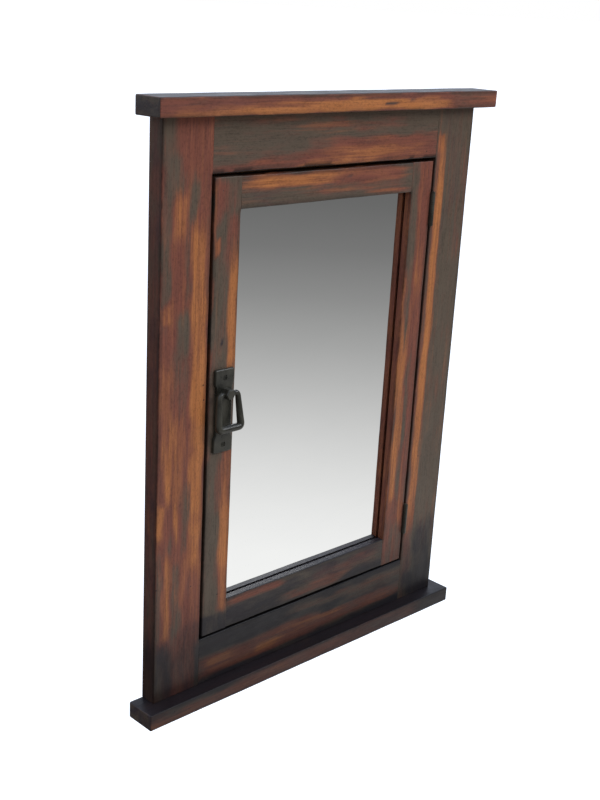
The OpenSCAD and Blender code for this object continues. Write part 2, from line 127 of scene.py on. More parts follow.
# Strokes of the rag and brush on each board's front, and one painted shadow beside the pull, each laid over
# those before:
# (tone, x, z, half width, half height, strength), in mm
STROKES_MM = {
    "face_stile_left": [
        (OLIVE, -221, 290, 9, 26, 0.85),
        (BROWN, -205, 262, 24, 30, 0.6),
        (RED, -189, 281, 17, 28, 0.9),
        (OLIVE, -213, 254, 11, 20, 0.85),
        (RED, -177, 232, 8, 34, 0.8),
        (OLIVE, -189, 226, 6, 26, 0.95),
        (OLIVE, -222, 180, 6, 66, 0.85),
        (ORANGE, -205, 213, 8, 26, 0.8),
        (OLIVE, -195, 165, 4, 40, 0.5),
        (AMBER, -181, 150, 9, 50, 0.85),
        (BROWN, -170, 190, 3, 60, 0.6),
        (ORANGE, -221, 121, 7, 9, 0.8),
        (OLIVE, -200, 98, 9, 20, 0.95),
        (BROWN, -204, 62, 12, 34, 0.8),
        (AMBER, -178, 76, 10, 56, 0.85),
        (ORANGE, -218, 10, 8, 60, 0.6),
        (BROWN, -197, 10, 5, 60, 0.6),
        (AMBER, -177, -20, 9, 84, 0.85),
        (ORANGE, -208, -36, 12, 50, 0.8),
        (AMBER, -213, -30, 3, 44, 0.6),
        (AMBER, -224, -98, 5, 14, 0.7),
        (AMBER, -203, -104, 3, 20, 0.8),
        (OLIVE, -191, -100, 6, 40, 0.8),
        (OLIVE, -213, -135, 4, 26, 0.5),
        (ORANGE, -178, -146, 10, 44, 0.95),
        (AMBER, -176, -142, 6, 24, 0.5),
        (RED, -180, -208, 11, 34, 0.85),
        (OLIVE, -201, -200, 7, 46, 0.75),
        (ORANGE, -214, -190, 6, 50, 0.85),
        (OLIVE, -226, -190, 4, 70, 0.7),
        (OXBLOOD, -190, -250, 40, 18, 0.75),
        (OXBLOOD, -190, -290, 42, 34, 0.9),
        (BLACK, -217, -286, 12, 40, 0.6),
        (BLACK, -168, -284, 6, 26, 0.6),
    ],
    "face_stile_right": [
        (DUSK, 205, 240, 40, 100, 0.9),
        (BROWN, 225, 190, 5, 60, 0.5),
        (ORANGE, 175, 270, 7, 16, 0.85),
        (AMBER, 178, 100, 7, 156, 0.95),
        (AMBER, 177, -90, 7, 110, 0.85),
        (ORANGE, 177, -190, 7, 50, 0.7),
        (OXBLOOD, 177, -260, 7, 34, 0.8),
        (BROWN, 167.5, 20, 5, 250, 0.9),
        (BLACK, 205, -262, 18, 60, 0.75),
        (BLACK, 205, -295, 34, 22, 0.8),
        (BLACK, 190, 8, 1.2, 14, 0.9),
    ],
    "face_rail_top": [
        (BROWN, -95, 303, 40, 5, 0.7),
        (BROWN, 40, 296, 80, 5, 0.9),
        (RED, -80, 257, 90, 6, 0.9),
        (RED, -30, 263, 60, 7, 0.8),
        (RED, 85, 267, 90, 15, 1.0),
        (ORANGE, 30, 262, 40, 9, 0.8),
        (ORANGE, 110, 264, 50, 9, 0.6),
        (AMBER, -20, 256, 40, 3, 0.6),
        (BLACK, 70, 267, 7, 1.6, 0.5),
    ],
    "face_rail_bottom": [
        (BROWN, 60, -266, 100, 5, 0.7),
        (BROWN, 120, -272, 60, 8, 0.6),
        (RED, -80, -291, 94, 14, 1.0),
        (OXBLOOD, -100, -304, 90, 4, 0.7),
        (RED, 80, -291, 100, 9, 0.85),
        (AMBER, -62, -292, 22, 6, 0.7),
        (ORANGE, -135, -286, 24, 6, 0.7),
        (ORANGE, 20, -286, 46, 4, 0.7),
        (ORANGE, 120, -292, 30, 4, 0.5),
        (BLACK, 0, -307, 170, 4, 0.8),
        (BLACK, 54, -276, 14, 1.6, 0.8),
    ],
    "door_stile_left": [
        (RED, -153, 232, 10, 22, 0.85),
        (BROWN, -139, 236, 8, 20, 0.8),
        (ORANGE, -163.5, 150, 1.5, 120, 0.7),
        (ORANGE, -158, 184, 4, 9, 0.9),
        (RED, -138, 182, 8, 28, 0.7),
        (AMBER, -134, 105, 7, 56, 0.9),
        (RED, -163.5, 0, 1.5, 60, 0.6),
        # painted shadow of the pull's plate and bail on the stile to their left
        (DUSK, -160, 6, 6, 50, 0.8),
        (BROWN, -148, -84, 5, 30, 0.6),
        (ORANGE, -135.5, -60, 7.5, 44, 0.9),
        (AMBER, -136, -140, 7.5, 48, 0.85),
        (ORANGE, -136, -205, 8, 28, 0.8),
        (BLACK, -150, -242, 30, 13, 0.9),
        (BLACK, -148, 88, 0.9, 6, 0.9),
    ],
    "door_stile_right": [
        (OLIVE, 136, 190, 8, 60, 0.95),
        (OLIVE, 139, 70, 6, 60, 0.8),
        (RED, 152, 232, 10, 20, 0.9),
        (RED, 153, 150, 10, 90, 0.95),
        (ORANGE, 152, 110, 7, 60, 0.7),
        (RED, 151, 10, 9, 90, 0.8),
        (ORANGE, 131, 70, 3, 50, 0.8),
        (AMBER, 136, -30, 7, 70, 0.7),
        (AMBER, 139, -120, 7, 70, 0.7),
        (OLIVE, 149, -40, 4, 60, 0.8),
        (RED, 158, -60, 6, 80, 0.7),
        (ORANGE, 155, -160, 5, 44, 0.7),
        (OLIVE, 147, -150, 3, 40, 0.5),
        (RED, 140, -200, 9, 34, 0.7),
        (BROWN, 152, -226, 12, 26, 0.9),
    ],
    "door_rail_top": [
        (ORANGE, -12, 242, 112, 8, 1.0),
        (AMBER, -60, 242, 62, 6, 0.6),
        (RED, 60, 240, 50, 8, 0.8),
        (BROWN, 40, 227, 90, 3, 0.9),
        (ORANGE, 92, 220, 34, 2.5, 0.8),
        (BLACK, 18, 239, 8, 1.6, 0.5),
    ],
    "door_rail_bottom": [
        (BLACK, 0, -232, 140, 20, 0.55),
        (RED, -84, -221, 44, 5, 0.85),
        (BLACK, -70, -240, 70, 12, 0.7),
        (RED, 4, -243, 46, 6, 0.75),
        (OXBLOOD, 60, -230, 60, 7, 0.8),
        (ORANGE, 40, -241, 36, 4, 0.55),
        (BLACK, 104, -246, 40, 6, 0.7),
    ],
    "crown_board": [
        (ORANGE, -150, 313, 80, 4, 0.8),
        (ORANGE, -40, 316, 90, 6, 0.9),
        (AMBER, -60, 312.5, 90, 2.5, 0.8),
        (AMBER, 50, 317, 90, 5.5, 0.95),
        (AMBER, 120, 314, 40, 4, 0.8),
        (BROWN, 205, 318, 46, 14, 0.7),
        (BROWN, 0, 327, 250, 2.0, 0.7),
        (BLACK, 94, 321, 2.2, 1.6, 1.0),
        (BLACK, 68, 315.5, 10, 1.6, 0.7),
    ],
    "ledge_board": [
        (BLACK, -175, -312, 60, 5, 0.7),
        (ORANGE, -205, -325, 50, 4, 0.8),
        (RED, 38, -310, 90, 1.5, 0.6),
        (RED, -60, -320, 130, 6, 0.8),
        (ORANGE, -90, -322, 50, 3, 0.5),
        (BLACK, 215, -318, 36, 20, 0.6),
    ],
}
REVEAL_RIGHT = (0.32, 1.0, 0.0)       # the door's faces round the mirror
REVEAL_LOW = (0.0, 0.0, 1.0)
END_TONE = (0.0, 0.1, 0.62)           # ends of the crown and ledge
TOP_TONE = (0.0, 0.0, 0.95)
LEDGE_TOP_TONE = (0.0, 0.55, 0.97)
SIDE_SHADE_TONE = (0.0, 0.5, 0.6)           # outer side of the left stile: its red-brown stain darkened as painted shade
BACK_TONE = (0.0, 0.5, 0.35)
END_SKIN = 0.5 * MM                   # how far from a face its own tone reaches
TOP_SKIN = 0.3 * MM
REVEAL_SKIN = 1 * MM
STROKE_CORE = 0.6                     # share of a stroke that has its full strength
STROKE_FADE = 1.35                    # where it has faded out
EDGE_REACH = 3.2 * MM                 # how far in from an edge the worn edge shows
FIGURE_LINES = 55.0                   # how many growth lines a broad figure is broken into
WARP_SCALE = 34 * MM                  # size and depth of the wander in a stroke's outline
WARP_ALONG = 16 * MM
WARP_ACROSS = 3.5 * MM
LOW_STAIN_SHADE_FROM = -0.175                    # heights between which the lower boards get darker: heavier stain, and painted shade where less light falls
LOW_STAIN_SHADE_TO = -0.285
LOW_STAIN_SHADE_MOST = 0.64
# the ledge's heavier stain and painted shade
LEDGE_STAIN_SHADE = 0.66
# painted shade on the outer side of the left stile
SIDE_SHADE = 0.3
GAP_SHADE = 0.8                        # painted shade on the faces inside the gap round the door
GAP_LIT_SHADE = 0.45                  # lighter painted shade on those that the light reaches
GAP_REACH = 3.6 * MM
GAP_DEEP = 0.3 * MM
BACK_DEEP = 18.5 * MM                 # from the boards' front to where their plain backs begin


# ---- node graphs ----

class Nodes:
    """A node tree, and short ways to add to it."""

    def __init__(self, tree):
        self.tree = tree

    def add(self, kind, **settings):
        node = self.tree.nodes.new(kind)
        for key, value in settings.items():
            setattr(node, key, value)
        return node

    def put(self, socket, value):
        if isinstance(value, bpy.types.NodeSocket):
            self.tree.links.new(value, socket)
        else:
            socket.default_value = value

    def attribute(self, name):
        return self.add("ShaderNodeAttribute", attribute_name=name)

    def object_place(self):
        return self.add("ShaderNodeTexCoord").outputs["Object"]

    def scaled(self, vector, scale, shift=(0, 0, 0)):
        node = self.add("ShaderNodeMapping")
        self.put(node.inputs["Vector"], vector)
        node.inputs["Scale"].default_value = scale
        node.inputs["Location"].default_value = shift
        return node.outputs["Vector"]

    def noise(self, vector, scale, detail=4, rough=0.55, twist=0.0):
        node = self.add("ShaderNodeTexNoise")
        self.put(node.inputs["Vector"], vector)
        node.inputs["Scale"].default_value = scale
        node.inputs["Detail"].default_value = detail
        node.inputs["Roughness"].default_value = rough
        node.inputs["Distortion"].default_value = twist
        return node.outputs["Fac"]

    def cells(self, vector, scale):
        node = self.add("ShaderNodeTexVoronoi")
        self.put(node.inputs["Vector"], vector)
        node.inputs["Scale"].default_value = scale
        return node

    def math(self, operation, first, second=0.0, third=0.0):
        node = self.add("ShaderNodeMath", operation=operation)
        self.put(node.inputs[0], first)
        self.put(node.inputs[1], second)
        self.put(node.inputs[2], third)
        return node.outputs[0]

    def step(self, value, low, high, out_low=0.0, out_high=1.0):
        node = self.add("ShaderNodeMapRange", interpolation_type="SMOOTHSTEP")
        self.put(node.inputs["Value"], value)
        node.inputs["From Min"].default_value = low
        node.inputs["From Max"].default_value = high
        node.inputs["To Min"].default_value = out_low
        node.inputs["To Max"].default_value = out_high
        return node.outputs["Result"]

    def mix(self, share, first, second, blend="MIX"):
        node = self.add("ShaderNodeMix", data_type="RGBA", blend_type=blend)
        self.put(node.inputs["Factor"], share)
        for socket, value in ((node.inputs[6], first), (node.inputs[7], second)):
            if isinstance(value, tuple):
                value = (*value, 1)
            self.put(socket, value)
        return node.outputs[2]

    def bump(self, height, strength, distance, under=None):
        node = self.add("ShaderNodeBump")
        self.put(node.inputs["Height"], height)
        node.inputs["Strength"].default_value = strength
        node.inputs["Distance"].default_value = distance
        if under is not None:
            self.put(node.inputs["Normal"], under)
        return node.outputs["Normal"]

    def greys(self, place, stops):
        """Brightness by place, with stops from -1 to 1."""
        node = self.add("ShaderNodeValToRGB")
        self.put(node.inputs["Fac"], place)
        ramp = node.color_ramp
        while len(ramp.elements) < len(stops):
            ramp.elements.new(0.5)
        for element, (stop, grey) in zip(ramp.elements, stops):
            element.position = (stop + 1) / 2
            element.color = (grey, grey, grey, 1)
        return node.outputs["Color"]


class Graph(Nodes):
    """A material's node tree."""

    def __init__(self, name):
        self.material = bpy.data.materials.new(name)
        self.material.use_nodes = True
        super().__init__(self.material.node_tree)
        self.shader = self.tree.nodes["Principled BSDF"]

    def finish(self, colour=None, roughness=None, normal=None, **fixed):
        if colour is not None:
            self.put(self.shader.inputs["Base Color"], colour)
        if roughness is not None:
            self.put(self.shader.inputs["Roughness"], roughness)
        if normal is not None:
            self.put(self.shader.inputs["Normal"], normal)
        for name, value in fixed.items():
            self.shader.inputs[name.replace("_", " ")].default_value = value
        return self.material


# ---- materials ----

# Colours of the stained wood, each from its dark to its light
GROUND_COLOURS = (0.1, 0.072, 0.049), (0.16, 0.114, 0.077)
RED_COLOURS = (0.15, 0.045, 0.031), (0.33, 0.102, 0.062)
GOLD_COLOURS = (0.38, 0.115, 0.03), (0.72, 0.27, 0.085)
BLACK_COLOURS = (0.012, 0.0105, 0.0155), (0.034, 0.03, 0.043)
EDGE_COLOUR = (0.012, 0.008, 0.007)
HOLE_COLOUR = (0.012, 0.009, 0.008)
# How much each texture roughens the outline of a tone
MASK_WEIGHTS = (0.32, 0.14, 0.2)
FIGURE_WEIGHT = 0.03


def stained_wood():
    """Dark stain over wood, rubbed through to red-brown and amber where the wear attribute says, and darkened
    where it carries heavier stain and painted shade.
    """
    graph = Graph("stained_wood")
    grain = graph.attribute("grain").outputs["Vector"]
    wear_and_shade = graph.add("ShaderNodeSeparateColor")
    graph.put(wear_and_shade.inputs["Color"], graph.attribute("wear_and_shade").outputs["Color"])
    amber_level, red_level, dark_level = wear_and_shade.outputs
    edge = graph.attribute("edge").outputs["Fac"]

    streaks = graph.noise(graph.scaled(grain, (8, 130, 130)), 1, 6, 0.62, 0.4)
    ribbons = graph.noise(graph.scaled(grain, (14, 330, 330), (2, 6, 4)), 1, 4, 0.6, 0.2)
    lines = graph.noise(graph.scaled(grain, (22, 800, 800), (3, 1, 7)), 1, 4, 0.6)
    cloud = graph.noise(graph.scaled(grain, (15, 46, 46), (9, 4, 2)), 1, 5, 0.62, 0.8)
    brush = graph.noise(graph.scaled(grain, (26, 85, 85), (5, 8, 1)), 1, 6, 0.7, 0.3)
    broad = graph.noise(graph.scaled(grain, (3.2, 34, 34), (1, 2, 3)), 1, 3, 0.5, 0.3)
    figure = graph.math("SINE", graph.math("MULTIPLY", broad, FIGURE_LINES))
    full = {key: graph.step(texture, 0.33, 0.67, -0.5, 0.5) for key, texture in (
        ("streaks", streaks), ("ribbons", ribbons), ("cloud", cloud), ("brush", brush))}

    def mask(level, first, second, third, low, high):
        lifted = level
        for key, weight in zip((first, second, third), MASK_WEIGHTS):
            lifted = graph.math("MULTIPLY_ADD", full[key], weight, lifted)
        return graph.step(graph.math("MULTIPLY_ADD", figure, FIGURE_WEIGHT, lifted), low, high)

    amber = mask(amber_level, "streaks", "ribbons", "cloud", 0.05, 1.0)
    red = mask(red_level, "brush", "ribbons", "streaks", 0.0, 0.95)
    dark = mask(dark_level, "cloud", "streaks", "brush", 0.1, 0.95)

    base = graph.mix(cloud, *GROUND_COLOURS)
    red_brown = graph.mix(ribbons, *RED_COLOURS)
    gold = graph.mix(ribbons, *GOLD_COLOURS)
    black = graph.mix(cloud, *BLACK_COLOURS)
    colour = graph.mix(red, base, red_brown)
    colour = graph.mix(amber, colour, gold)
    colour = graph.mix(graph.math("MULTIPLY", dark, 0.9), colour, black)

    stained = graph.math("MULTIPLY", edge, graph.step(brush, 0.7, 0.45))
    colour = graph.mix(graph.math("MULTIPLY", stained, 0.8), colour, EDGE_COLOUR)
    speckle = graph.noise(graph.scaled(grain, (260, 520, 520), (7, 2, 9)), 1, 4, 0.75)
    pores = graph.math("MULTIPLY", graph.step(lines, 0.3, 0.62, 0.76, 1.08),
                       graph.step(speckle, 0.32, 0.62, 0.76, 1.12))
    pores = graph.math("MULTIPLY_ADD", figure, 0.04, pores)
    colour = graph.mix(1.0, colour, graph.mix(pores, (0, 0, 0), (1, 1, 1)), "MULTIPLY")
    # painted shade and heavier stain: the attribute's alpha darkens the colour low down, in the gap and on
    # the left stile's side
    colour = graph.mix(graph.attribute("wear_and_shade").outputs["Alpha"], (0, 0, 0), colour)

    holes = graph.cells(graph.scaled(grain, (1, 1.4, 1.4)), 75)
    picked = graph.step(holes.outputs["Color"], 0.83, 0.85)
    dots = graph.math("MULTIPLY", graph.step(holes.outputs["Distance"], 0.1, 0.06), picked)
    colour = graph.mix(graph.math("MULTIPLY", dots, 0.85), colour, HOLE_COLOUR)

    normal = graph.bump(lines, 0.16, 0.0004)
    normal = graph.bump(streaks, 0.22, 0.0012, normal)
    normal = graph.bump(cloud, 0.16, 0.004, normal)
    normal = graph.bump(graph.math("MULTIPLY", dots, -1.0), 0.6, 0.0006, normal)
    roughness = graph.step(brush, 0.25, 0.75, 0.34, 0.52)
    return graph.finish(colour, roughness, normal, Specular_IOR_Level=0.32)


def plain_wood(name, pale, deep, along, gloss=0.45):
    """Unstained or lightly varnished board with its grain along one axis."""
    graph = Graph(name)
    place = graph.object_place()
    stretch = [120.0, 120.0, 120.0]
    stretch["xyz".index(along)] = 6.0
    fine = [700.0, 700.0, 700.0]
    fine["xyz".index(along)] = 30.0
    rings = graph.noise(graph.scaled(place, stretch), 1, 5, 0.55, 0.8)
    lines = graph.noise(graph.scaled(place, fine), 1, 3, 0.6)
    cloud = graph.noise(place, 14, 3, 0.5)
    colour = graph.mix(graph.step(rings, 0.3, 0.7), deep, pale)
    colour = graph.mix(graph.step(lines, 0.45, 0.72, 0.0, 0.4), colour, deep)
    shade = graph.step(cloud, 0.2, 0.8, 0.82, 1.05)
    colour = graph.mix(1.0, colour, graph.mix(shade, (0, 0, 0), (1, 1, 1)), "MULTIPLY")
    normal = graph.bump(lines, 0.12, 0.0003)
    normal = graph.bump(rings, 0.12, 0.0008, normal)
    roughness = graph.step(rings, 0.2, 0.8, gloss - 0.06, gloss + 0.12)
    return graph.finish(colour, roughness, normal)


def black_iron():
    """Forged iron painted black, with a worn dull patina."""
    graph = Graph("black_iron")
    place = graph.object_place()
    hammer = graph.noise(place, 240, 2, 0.5)
    pits = graph.noise(place, 1100, 3, 0.6)
    cloud = graph.noise(place, 60, 4, 0.6)
    colour = graph.mix(graph.step(cloud, 0.3, 0.7), (0.022, 0.0205, 0.015), (0.058, 0.053, 0.037))
    colour = graph.mix(graph.step(pits, 0.58, 0.75, 0.0, 0.4), colour, (0.045, 0.026, 0.015))
    normal = graph.bump(hammer, 0.22, 0.0006)
    normal = graph.bump(pits, 0.15, 0.0001, normal)
    roughness = graph.step(cloud, 0.25, 0.75, 0.24, 0.42)
    return graph.finish(colour, roughness, normal, Specular_IOR_Level=0.45)


def mirror():
    """Silvered glass with the faintest smears."""
    graph = Graph("mirror_glass")
    place = graph.object_place()
    smears = graph.noise(graph.scaled(place, (6, 6, 22)), 1, 4, 0.6, 0.5)
    colour = graph.mix(smears, (0.93, 0.94, 0.935), (0.97, 0.975, 0.97))
    roughness = graph.step(smears, 0.3, 0.8, 0.006, 0.03)
    return graph.finish(colour, roughness, Metallic=1.0)


def metal(name, dark, light, rough):
    """Plated or magnetic metal with fine scratches."""
    graph = Graph(name)
    place = graph.object_place()
    scratches = graph.noise(graph.scaled(place, (300, 300, 2500)), 1, 3, 0.6)
    cloud = graph.noise(place, 120, 3, 0.5)
    colour = graph.mix(cloud, dark, light)
    roughness = graph.step(scratches, 0.3, 0.7, rough - 0.08, rough + 0.12)
    normal = graph.bump(scratches, 0.1, 0.0001)
    return graph.finish(colour, roughness, normal, Metallic=0.95)


def speckled(name, dark, light, rough, scale):
    """Pressed, moulded or felted material with a fine speckle."""
    graph = Graph(name)
    place = graph.object_place()
    fibres = graph.noise(place, scale, 5, 0.7)
    cloud = graph.noise(place, scale / 12, 3, 0.5)
    colour = graph.mix(graph.step(fibres, 0.35, 0.65), dark, light)
    shade = graph.step(cloud, 0.2, 0.8, 0.88, 1.04)
    colour = graph.mix(1.0, colour, graph.mix(shade, (0, 0, 0), (1, 1, 1)), "MULTIPLY")
    normal = graph.bump(fibres, 0.2, 0.0003)
    roughness = graph.step(fibres, 0.3, 0.7, rough - 0.08, rough + 0.08)
    return graph.finish(colour, roughness, normal)


PINE_PALE = (0.56, 0.37, 0.19)
PINE_DEEP = (0.38, 0.21, 0.09)
BOX_PALE = (0.42, 0.22, 0.095)
BOX_DEEP = (0.26, 0.115, 0.045)
MATERIALS = {
    "stained_wood": stained_wood(),
    "pine_x": plain_wood("pine_x", PINE_PALE, PINE_DEEP, "x"),
    "pine_z": plain_wood("pine_z", PINE_PALE, PINE_DEEP, "z"),
    "box_x": plain_wood("box_wood_x", BOX_PALE, BOX_DEEP, "x", 0.38),
    "box_z": plain_wood("box_wood_z", BOX_PALE, BOX_DEEP, "z", 0.38),
    "black_iron": black_iron(),
    "mirror": mirror(),
    "steel": metal("steel", (0.42, 0.41, 0.39), (0.6, 0.59, 0.57), 0.34),
    "magnet": metal("magnet", (0.1, 0.1, 0.11), (0.17, 0.17, 0.18), 0.5),
    "backing": speckled("backing_board", (0.16, 0.085, 0.045), (0.3, 0.18, 0.1), 0.7, 900),
    "plastic": speckled("brown_plastic", (0.075, 0.038, 0.02), (0.095, 0.05, 0.028), 0.42, 1500),
    "felt": speckled("felt", (0.16, 0.13, 0.1), (0.3, 0.25, 0.2), 0.95, 2600),
}


# ---- mesh helpers ----

def new_object(name, mesh, material):
    piece = bpy.data.objects.new(name, mesh)
    bpy.context.scene.collection.objects.link(piece)
    mesh.materials.clear()
    mesh.materials.append(MATERIALS[material])
    return piece


def smoothstep(share):
    return share * share * (3 - 2 * share)


def join_rings(build, rings):
    """Closes a tube of rings of points, with a face across each end."""
    for one, two in zip(rings, rings[1:]):
        for k in range(len(one)):
            build.faces.new((one[k - 1], one[k], two[k], two[k - 1]))
    build.faces.new(rings[0])
    build.faces.new(rings[-1])


def mesh_from(build):
    """A mesh made of what a bmesh holds."""
    mesh = bpy.data.meshes.new("mesh")
    bmesh.ops.recalc_face_normals(build, faces=build.faces)
    build.to_mesh(mesh)
    build.free()
    return mesh


def smooth(piece, angle=40):
    """Rounds the shading, except across edges sharper than the angle."""
    for face in piece.data.polygons:
        face.use_smooth = True
    piece.data.set_sharp_from_angle(angle=math.radians(angle))
    weighted = piece.modifiers.new("weighted", "WEIGHTED_NORMAL")
    weighted.keep_sharp = True
    weighted.weight = 80


def apply_modifiers(piece):
    bpy.context.view_layer.update()
    shown = piece.evaluated_get(bpy.context.evaluated_depsgraph_get())
    old = piece.data
    piece.data = bpy.data.meshes.new_from_object(shown)
    piece.modifiers.clear()
    bpy.data.meshes.remove(old)


def cut_away(piece, cutter_mesh):
    """Takes the cutter's shape out of the piece."""
    cutter = bpy.data.objects.new("cutter", cutter_mesh)
    bpy.context.scene.collection.objects.link(cutter)
    cut = piece.modifiers.new("cut", "BOOLEAN")
    cut.operation = "DIFFERENCE"
    cut.solver = "EXACT"
    cut.object = cutter
    apply_modifiers(piece)
    bpy.data.objects.remove(cutter)


def block_mesh(low, high):
    build = bmesh.new()
    middle = (Vector(low) + Vector(high)) / 2
    size = Vector(high) - Vector(low)
    bmesh.ops.create_cube(build, size=1, matrix=Matrix.Translation(middle) @ Matrix.Diagonal((*size, 1)))
    return mesh_from(build)


def rod_mesh(centre, radius, half, sides=40):
    """An upright cylinder."""
    build = bmesh.new()
    bmesh.ops.create_cone(build, cap_ends=True, segments=sides, radius1=radius, radius2=radius,
                          depth=2 * half, matrix=Matrix.Translation(centre))
    return mesh_from(build)


def softened_copy(name, node, body, material, width, segments=2):
    """A copy of a CAD node with its sharp edges rounded by width."""
    build = bmesh.new()
    build.from_mesh(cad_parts[node].data)
    bmesh.ops.remove_doubles(build, verts=build.verts, dist=1e-6)
    bmesh.ops.dissolve_limit(build, angle_limit=math.radians(0.5), verts=build.verts, edges=build.edges)
    sharp = [e for e in build.edges if e.is_manifold and e.calc_face_angle() > math.radians(28)]
    bmesh.ops.bevel(build, geom=sharp, offset=width, segments=segments, profile=0.5, affect="EDGES",
                    clamp_overlap=True)
    piece = new_object(name, mesh_from(build), material)
    smooth(piece, 32)
    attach(piece, body)
    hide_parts(node)
    return piece


# ---- boards ----

def wobble(place, seed, pitch=0.06):
    """A smooth value from 0 to 1 that changes along a board."""
    value = noise.noise(Vector((place / pitch, seed * 7.31, seed * 1.7)))
    value += 0.5 * noise.noise(Vector((place / pitch * 2.7, seed * 3.1, 5.5)))
    return min(1.0, max(0.0, 0.45 + 0.9 * value))


def ring_points(low, high, radii, insets, flats):
    """Points round a rectangle whose four corners have their own radius and inset."""
    signs = [(1, 1), (-1, 1), (-1, -1), (1, -1)]
    bases = [(low[0], low[1]), (high[0], low[1]), (high[0], high[1]), (low[0], high[1])]
    points = []
    arcs = []
    for corner in range(4):
        sign = signs[corner]
        radius = radii[corner]
        centre = [bases[corner][k] + sign[k] * (insets[corner][k] + radius) for k in (0, 1)]
        start = math.pi + corner * math.pi / 2
        arc = []
        for step in range(ARC_STEPS + 1):
            angle = start + step / ARC_STEPS * math.pi / 2
            arc.append((centre[0] + radius * math.cos(angle), centre[1] + radius * math.sin(angle)))
        arcs.append(arc)
    for corner in range(4):
        points += arcs[corner]
        first = arcs[corner][-1]
        last = arcs[(corner + 1) % 4][0]
        count = flats[corner % 2]
        for step in range(1, count):
            share = step / count
            points.append(tuple(first[k] + (last[k] - first[k]) * share for k in (0, 1)))
    return points


def board_mesh(low, high, along, radius_at, wave, end_r, seed):
    """A board as a tube of rings along its grain, with hand-softened edges that only go inwards."""
    axis = "xyz".index(along)
    across = 2 if axis == 0 else 0
    flat_low = (low[across], low[1])
    flat_high = (high[across], high[1])
    flats = [max(1, round((flat_high[k] - flat_low[k]) / CELL)) for k in (0, 1)]
    start = low[axis]
    end = high[axis]
    places = []
    for step in range(4):
        turn = step / 3 * math.pi / 2
        places.append((start + end_r * (1 - math.cos(turn)), end_r * (1 - math.sin(turn))))
    count = max(2, round((end - start - 2 * end_r) / CELL))
    for step in range(1, count):
        places.append((start + end_r + (end - start - 2 * end_r) * step / count, 0.0))
    places += [(start + end - place, inset) for place, inset in reversed(places[:4])]

    build = bmesh.new()
    rings = []
    for place, inset in places:
        radii = [radius_at(corner, place) for corner in range(4)]
        insets = []
        for corner in range(4):
            depth = wave[corner]
            insets.append((inset + depth * wobble(place, seed + corner),
                           inset + 0.6 * depth * wobble(place, seed + 9 + corner)))
        ring = []
        for first, second in ring_points(flat_low, flat_high, radii, insets, flats):
            point = [0.0, second, 0.0]
            point[axis] = place
            point[across] = first
            ring.append(build.verts.new(point))
        rings.append(ring)
    join_rings(build, rings)
    return mesh_from(build)


def stroke_share(distance):
    if distance <= STROKE_CORE:
        return 1.0
    share = min(1.0, (distance - STROKE_CORE) / (STROKE_FADE - STROKE_CORE))
    return 1.0 - smoothstep(share)


def tone_and_shade_at(board, point, along):
    """How amber, red and dark the board is at a point, and the share of colour left by the heavier stain and
    painted shade.
    """
    levels = list(GROUND[board])
    wander = noise.noise_vector(point / WARP_SCALE)
    reach = (WARP_ALONG, WARP_ACROSS) if along == "x" else (WARP_ACROSS, WARP_ALONG)
    x = (point.x + wander.x * reach[0]) / MM
    z = (point.z + wander.z * reach[1]) / MM
    for tone, x0, z0, half_x, half_z, strength in STROKES_MM[board]:
        share = strength * stroke_share(abs(x - x0) / half_x) * stroke_share(abs(z - z0) / half_z)
        levels = [level + (wanted - level) * share for level, wanted in zip(levels, tone)]
    # painted shade: the left stile's outer side is pulled towards a darker tone
    if board == "face_stile_left" and point.x < FRAME_LEFT + END_SKIN:
        levels = [(level + 2 * wanted) / 3 for level, wanted in zip(levels, SIDE_SHADE_TONE)]
    return [*(own_tone(board, point) or levels), 1 - shade_and_stain_at(board, point)]


def own_tone(board, point):
    """The tone of a face that the strokes on the front don't reach."""
    behind = point.y > DOOR_FRONT + GAP_DEEP
    if behind and board == "door_stile_right" and abs(point.x - GLASS_RIGHT) < REVEAL_SKIN:
        return REVEAL_RIGHT
    if behind and board == "door_rail_bottom" and abs(point.z - GLASS_LOW) < REVEAL_SKIN:
        return REVEAL_LOW
    if board in ("crown_board", "ledge_board") and abs(point.x) > TRIM_END - END_SKIN:
        return END_TONE
    if board == "crown_board" and point.z > TRIM_TOP - TOP_SKIN:
        return TOP_TONE
    if board == "ledge_board" and point.z > LEDGE_TOP - TOP_SKIN:
        return LEDGE_TOP_TONE
    if point.y > DOOR_FRONT + BACK_DEEP:
        return BACK_TONE
    return None


def in_gap(point):
    across = abs(abs(point.x) - OPENING_X) < GAP_REACH and abs(point.z) < OPENING_Z + GAP_REACH
    upright = abs(abs(point.z) - OPENING_Z) < GAP_REACH and abs(point.x) < OPENING_X + GAP_REACH
    return point.y > DOOR_FRONT + GAP_DEEP and (across or upright)


def shade_and_stain_at(board, point):
    """How much of the colour is hidden: by heavier stain and painted shade low down, and by painted shade in
    the gap and on the left stile's outer side.
    """
    # the ledge, but not its ends, gets heavier stain and painted shade
    if board == "ledge_board":
        return 0.0 if abs(point.x) > TRIM_END - END_SKIN else LEDGE_STAIN_SHADE
    # darker towards the bottom: heavier stain and painted shade
    share = min(1.0, max(0.0, (LOW_STAIN_SHADE_FROM - point.z) / (LOW_STAIN_SHADE_FROM - LOW_STAIN_SHADE_TO)))
    shade_and_stain = LOW_STAIN_SHADE_MOST * smoothstep(share)
    # more painted shade on the left stile's outer side
    if board == "face_stile_left" and point.x < FRAME_LEFT + END_SKIN:
        shade_and_stain = 1 - (1 - shade_and_stain) * (1 - SIDE_SHADE)
    # painted shade inside the gap round the door, lighter where the light reaches
    if board != "crown_board" and in_gap(point):
        lit = board in ("face_stile_right", "door_stile_left")
        shade_and_stain = max(shade_and_stain, GAP_LIT_SHADE if lit else GAP_SHADE)
    return shade_and_stain


